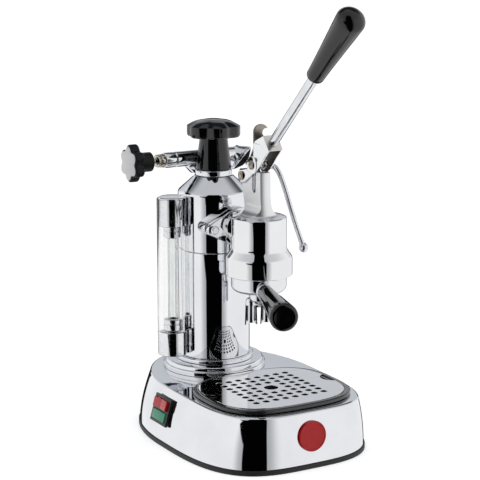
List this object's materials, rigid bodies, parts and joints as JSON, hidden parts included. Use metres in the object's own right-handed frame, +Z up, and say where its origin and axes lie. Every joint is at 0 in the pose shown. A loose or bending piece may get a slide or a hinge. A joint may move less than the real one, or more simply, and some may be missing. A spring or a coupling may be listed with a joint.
{
  "type": "lever espresso machine",
  "caption": "countertop espresso machine with an upright boiler, a hand lever over the brewing group, a portafilter, a steam wand and a drip tray in the chromed base",
  "frame": {"origin": "middle of the footprint's bounding box, on the table", "axes": "+Z up, the front with the badge and the portafilter faces -Y, +X is the right-hand side of someone who faces the front"},
  "size_m": [0.1991, 0.3429, 0.4579],
  "materials": {
    "chrome": "polished chrome plating",
    "steel": "stainless steel, fine satin",
    "brass": "machined brass",
    "black_plastic": "black thermoset plastic, polished",
    "grey_plastic": "dark grey moulded plastic",
    "pale_grey": "light grey disc",
    "rubber": "black rubber",
    "red": "red plastic",
    "green": "translucent green lens",
    "clear": "clear",
    "white_seal": "off-white seal ring"
  },
  "bodies": {
    "machine": {"base_shell": "chrome", "boiler_flange": "chrome", "boiler_base": "chrome", "boiler_lower": "chrome", "boiler_upper": "chrome", "filler_collar": "chrome", "sight_block_upper": "chrome", "sight_block_lower": "chrome", "sight_nut_upper": "chrome", "sight_nut_lower": "chrome", "steam_valve_body": "chrome", "packing_nut": "chrome", "wand_nut": "chrome", "group_body": "chrome", "bottom_plate": "steel", "heating_element": "steel", "group_bolt_left": "steel", "group_bolt_right": "steel", "shower_screen": "steel", "boiler_ring_nut": "brass", "safety_valve": "brass", "rod_gland": "brass", "switch_bezel": "black_plastic", "base_trim": "rubber", "cable_gland": "rubber", "group_gasket_flange": "rubber", "group_gasket": "rubber", "badge_disc": "red", "pilot_lamp": "green", "sight_glass_tube": "clear", "sight_shield": "clear"},
    "piston": {"piston": "brass", "piston_seal_upper": "rubber", "piston_seal_lower": "rubber", "piston_rod": "steel", "piston_pin": "steel", "piston_pin_clip": "steel"},
    "lever": {"lever_fork": "chrome", "pivot_pin": "steel", "pivot_pin_clip": "steel", "lever_rod": "chrome", "lever_grip": "black_plastic"},
    "portafilter": {"portafilter_body": "chrome", "filter_basket": "steel", "handle_ferrule": "chrome", "portafilter_handle": "black_plastic", "spout": "chrome"},
    "steam_tap": {"steam_spindle": "steel", "steam_knob": "black_plastic", "steam_knob_face": "pale_grey"},
    "wand": {"steam_wand": "chrome", "wand_tip": "chrome"},
    "tray": {"drip_tray": "grey_plastic"},
    "grid": {"drip_grid": "steel"},
    "rocker": {"switch_rocker": "red"},
    "cap_seal": {"cap_gasket": "white_seal"},
    "cap": {"boiler_cap": "black_plastic", "cap_knob": "black_plastic"}
  },
  "joints": [
    {"name": "piston_slide", "type": "slide", "parent": "machine", "child": "piston", "axis": [0, 0, 1], "range_m": [-0.02448, 0.00315]},
    {"name": "lever_pivot", "type": "hinge", "parent": "machine", "child": "lever", "pos_m": [0.00048, 0.025, 0.2767], "axis": [-1, 0, 0], "range_deg": [-62, 8]},
    {"name": "portafilter_turn", "type": "hinge", "parent": "machine", "child": "portafilter", "pos_m": [0.00048, 0.0041, 0.179], "axis": [0, 0, -1], "range_deg": [0, 45]},
    {"name": "steam_tap_turn", "type": "hinge", "parent": "machine", "child": "steam_tap", "pos_m": [-0.04502, 0.1259, 0.281], "axis": [-1, 0, 0], "range_deg": [0, 360]},
    {"name": "wand_swivel", "type": "hinge", "parent": "machine", "child": "wand", "pos_m": [0.04448, 0.1259, 0.281], "axis": [0.6045, -0.5044, -0.6165], "range_deg": [-30, 20]},
    {"name": "tray_lift", "type": "slide", "parent": "machine", "child": "tray", "axis": [0, 0, 1], "range_m": [0, 0.025]},
    {"name": "grid_lift", "type": "slide", "parent": "tray", "child": "grid", "axis": [0, 0, 1], "range_m": [0, 0.02]},
    {"name": "rocker_tip", "type": "hinge", "parent": "machine", "child": "rocker", "pos_m": [-0.09216, 0.0411, 0.036], "axis": [0.2864, 0, 0.9581], "range_deg": [-7, 7]},
    {"name": "cap_lift", "type": "slide", "parent": "machine", "child": "cap_seal", "axis": [0, 0, 1], "range_m": [0, 0.03]},
    {"name": "cap_turn", "type": "hinge", "parent": "cap_seal", "child": "cap", "pos_m": [0.00048, 0.0981, 0.276], "axis": [0, 0, 1], "range_deg": [0, 360]}
  ],
  "couplings": [
    {"joint": "lever_pivot", "follows": "piston_slide", "rad_per_m": 44.19}
  ]
}
